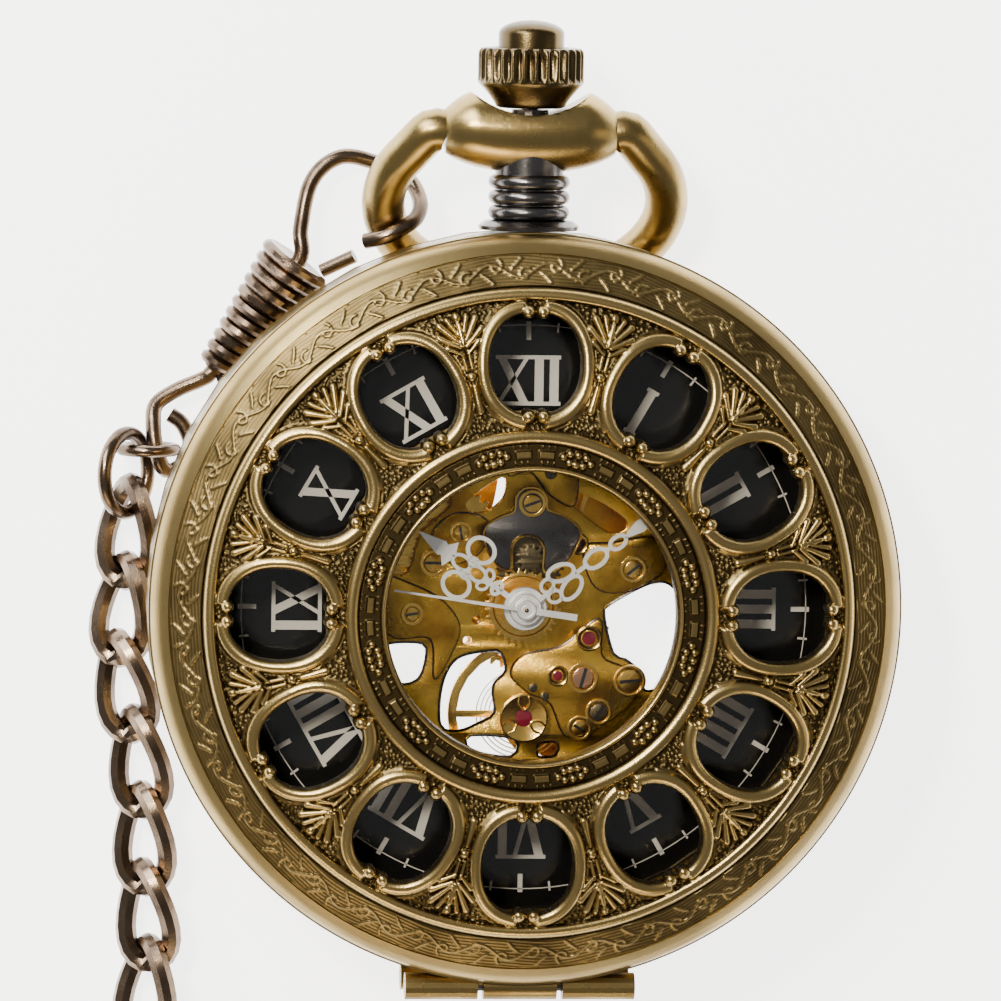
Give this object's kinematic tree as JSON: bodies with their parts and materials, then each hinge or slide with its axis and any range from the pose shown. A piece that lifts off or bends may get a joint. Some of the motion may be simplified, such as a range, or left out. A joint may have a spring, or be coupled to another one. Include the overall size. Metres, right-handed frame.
{
  "type": "pocket watch",
  "caption": "Skeleton pocket watch with a pierced hunter lid, see-through back, folding bow, push-button winding crown and a curb chain with spring hooks.",
  "frame": {"origin": "middle of the back window's outer face, on the plane that the watch lies on", "axes": "+Z is the dial's outward normal, +Y points to the crown at twelve o'clock, +X to three o'clock"},
  "size_m": [0.0652, 0.1288, 0.0146],
  "materials": {
    "antique_brass": "antiqued brass, dark in the recesses and rubbed bright on the ridges",
    "blackened_bronze": "blackened bronze, satin",
    "dark_bronze": "dark brown bronze with rubbed edges",
    "mineral_glass": "clear mineral glass",
    "gilt_brass": "gilt, fine satin",
    "steel": "dark polished steel",
    "bright_steel": "polished silver-white",
    "black_enamel": "glossy black enamel",
    "ruby": "polished synthetic ruby",
    "copper": "copper-coloured, polished"
  },
  "bodies": {
    "case": {"case_middle": "antique_brass", "front_hinge_pin": "blackened_bronze", "back_hinge_pin": "blackened_bronze", "pendant_neck": "blackened_bronze", "pendant_collar": "antique_brass", "bow_pin_left": "blackened_bronze", "bow_pin_right": "blackened_bronze", "movement_ring": "gilt_brass", "dial": "black_enamel", "front_bezel": "antique_brass", "front_crystal": "mineral_glass", "main_plate": "gilt_brass", "train_bridge": "gilt_brass", "barrel_bridge": "gilt_brass", "balance_cock": "gilt_brass", "minute_wheel_bridge": "steel", "third_jewel": "ruby", "escape_jewel": "ruby", "pallet_jewel": "ruby", "balance_jewel": "ruby", "bridge_screw": "steel", "plate_screw_1": "steel", "plate_screw_2": "steel", "plate_screw_3": "copper"},
    "front_lid": {"front_cover": "antique_brass"},
    "back_lid": {"back_cover": "antique_brass", "back_crystal": "mineral_glass"},
    "bow_body": {"bow": "antique_brass"},
    "crown_slider": {"crown_pipe": "blackened_bronze"},
    "crown": {"crown_knob": "antique_brass", "winding_stem": "blackened_bronze"},
    "lid_button": {"crown_button": "antique_brass"},
    "lid_catch": {"lock_spring": "steel"},
    "minute_group": {"cannon_pinion": "steel", "minute_hand": "bright_steel"},
    "minute_wheel_body": {"minute_wheel": "gilt_brass"},
    "hour_group": {"hour_wheel": "gilt_brass", "hour_hand": "bright_steel"},
    "seconds_group": {"fourth_wheel": "gilt_brass", "seconds_hand": "bright_steel"},
    "third_group": {"third_wheel": "gilt_brass"},
    "centre_group": {"centre_wheel": "gilt_brass"},
    "barrel_group": {"mainspring_barrel": "gilt_brass"},
    "escape_group": {"escape_wheel": "gilt_brass"},
    "fork_group": {"pallet_fork": "steel"},
    "balance_group": {"balance_wheel": "gilt_brass", "hairspring": "steel"},
    "ratchet_group": {"ratchet_wheel": "steel"},
    "crown_wheel_group": {"crown_wheel": "steel"},
    "click_group": {"click": "steel"},
    "clasp": {"clasp_hook": "dark_bronze", "clasp_sleeve": "dark_bronze"},
    "clasp_gate_body": {"clasp_gate": "dark_bronze"},
    "chain": {"jump_ring_upper": "dark_bronze", "jump_ring_lower": "dark_bronze", "chain_run": "dark_bronze", "chain_coil": "dark_bronze", "end_clasp_hook": "dark_bronze", "end_clasp_sleeve": "dark_bronze"}
  },
  "joints": [
    {"name": "front_cover_hinge", "type": "hinge", "parent": "case", "child": "front_lid", "pos_m": [0, -0.02375, 0.00915], "axis": [1, 0, 0], "range_deg": [0, 115]},
    {"name": "back_cover_hinge", "type": "hinge", "parent": "case", "child": "back_lid", "pos_m": [0, -0.02375, 0.00545], "axis": [-1, 0, 0], "range_deg": [0, 100]},
    {"name": "bow_swing", "type": "hinge", "parent": "case", "child": "bow_body", "pos_m": [0, 0.0296, 0.0073], "axis": [1, 0, 0], "range_deg": [0, 236]},
    {"name": "crown_pull", "type": "slide", "parent": "case", "child": "crown_slider", "axis": [0, 1, 0], "range_m": [0, 0.001]},
    {"name": "crown_turn", "type": "hinge", "parent": "crown_slider", "child": "crown", "pos_m": [0, 0.0296, 0.0073], "axis": [0, 1, 0], "continuous": true},
    {"name": "button_press", "type": "slide", "parent": "crown", "child": "lid_button", "axis": [0, -1, 0], "range_m": [0, 0.0006]},
    {"name": "catch_release", "type": "slide", "parent": "case", "child": "lid_catch", "axis": [0, -1, 0], "range_m": [0, 0.0003]},
    {"name": "minute_hand_turn", "type": "hinge", "parent": "case", "child": "minute_group", "pos_m": [0, 0, 0.007], "axis": [0, 0, 1], "continuous": true},
    {"name": "minute_wheel_turn", "type": "hinge", "parent": "case", "child": "minute_wheel_body", "pos_m": [0.00044, 0.00298, 0.007], "axis": [0, 0, 1], "continuous": true},
    {"name": "hour_hand_turn", "type": "hinge", "parent": "case", "child": "hour_group", "pos_m": [0, 0, 0.007], "axis": [0, 0, 1], "continuous": true},
    {"name": "seconds_hand_turn", "type": "hinge", "parent": "case", "child": "seconds_group", "pos_m": [0, 0, 0.004], "axis": [0, 0, 1], "continuous": true},
    {"name": "third_wheel_turn", "type": "hinge", "parent": "case", "child": "third_group", "pos_m": [0.0034, 0.0039, 0.004], "axis": [0, 0, 1], "continuous": true},
    {"name": "centre_wheel_turn", "type": "hinge", "parent": "case", "child": "centre_group", "pos_m": [0, 0, 0.004], "axis": [0, 0, 1], "continuous": true},
    {"name": "barrel_turn", "type": "hinge", "parent": "case", "child": "barrel_group", "pos_m": [-0.00566, 0.00255, 0.004], "axis": [0, 0, 1], "continuous": true},
    {"name": "escape_wheel_turn", "type": "hinge", "parent": "case", "child": "escape_group", "pos_m": [0.00424, -0.00206, 0.004], "axis": [0, 0, 1], "continuous": true},
    {"name": "pallet_rock", "type": "hinge", "parent": "case", "child": "fork_group", "pos_m": [0.00231, -0.00443, 0.004], "axis": [0, 0, 1], "range_deg": [-5, 5]},
    {"name": "balance_swing", "type": "hinge", "parent": "case", "child": "balance_group", "pos_m": [0.00019, -0.0071, 0.004], "axis": [0, 0, 1], "range_deg": [-270, 270]},
    {"name": "ratchet_turn", "type": "hinge", "parent": "case", "child": "ratchet_group", "pos_m": [-0.00566, 0.00255, 0.004], "axis": [0, 0, 1], "continuous": true},
    {"name": "crown_wheel_turn", "type": "hinge", "parent": "case", "child": "crown_wheel_group", "pos_m": [-0.0036, 0.0069, 0.004], "axis": [0, 0, 1], "continuous": true},
    {"name": "click_rock", "type": "hinge", "parent": "case", "child": "click_group", "pos_m": [-0.0095, 0.0012, 0.004], "axis": [0, 0, 1], "range_deg": [0, 8]},
    {"name": "clasp_swing", "type": "hinge", "parent": "bow_body", "child": "clasp", "pos_m": [-0.0089, 0.0252, 0.0047], "axis": [0, 0, -1], "range_deg": [0, 15]},
    {"name": "clasp_gate_press", "type": "hinge", "parent": "clasp", "child": "clasp_gate_body", "pos_m": [-0.0126, 0.0206, 0.0034], "axis": [0, 0, 1], "range_deg": [0, 12]},
    {"name": "chain_swing", "type": "hinge", "parent": "clasp", "child": "chain", "pos_m": [-0.023, 0.0094, 0.0025], "axis": [0, 0, -1], "range_deg": [0, 15]}
  ],
  "couplings": [
    {"joint": "catch_release", "follows": "button_press", "ratio": 0.5},
    {"joint": "minute_wheel_turn", "follows": "minute_hand_turn", "ratio": -0.33333},
    {"joint": "hour_hand_turn", "follows": "minute_hand_turn", "ratio": 0.083333},
    {"joint": "crown_wheel_turn", "follows": "ratchet_turn", "ratio": -1.5},
    {"joint": "third_wheel_turn", "follows": "seconds_hand_turn", "ratio": -0.2},
    {"joint": "centre_wheel_turn", "follows": "seconds_hand_turn", "ratio": 0.04},
    {"joint": "barrel_turn", "follows": "seconds_hand_turn", "ratio": -0.008},
    {"joint": "escape_wheel_turn", "follows": "seconds_hand_turn", "ratio": -5}
  ]
}
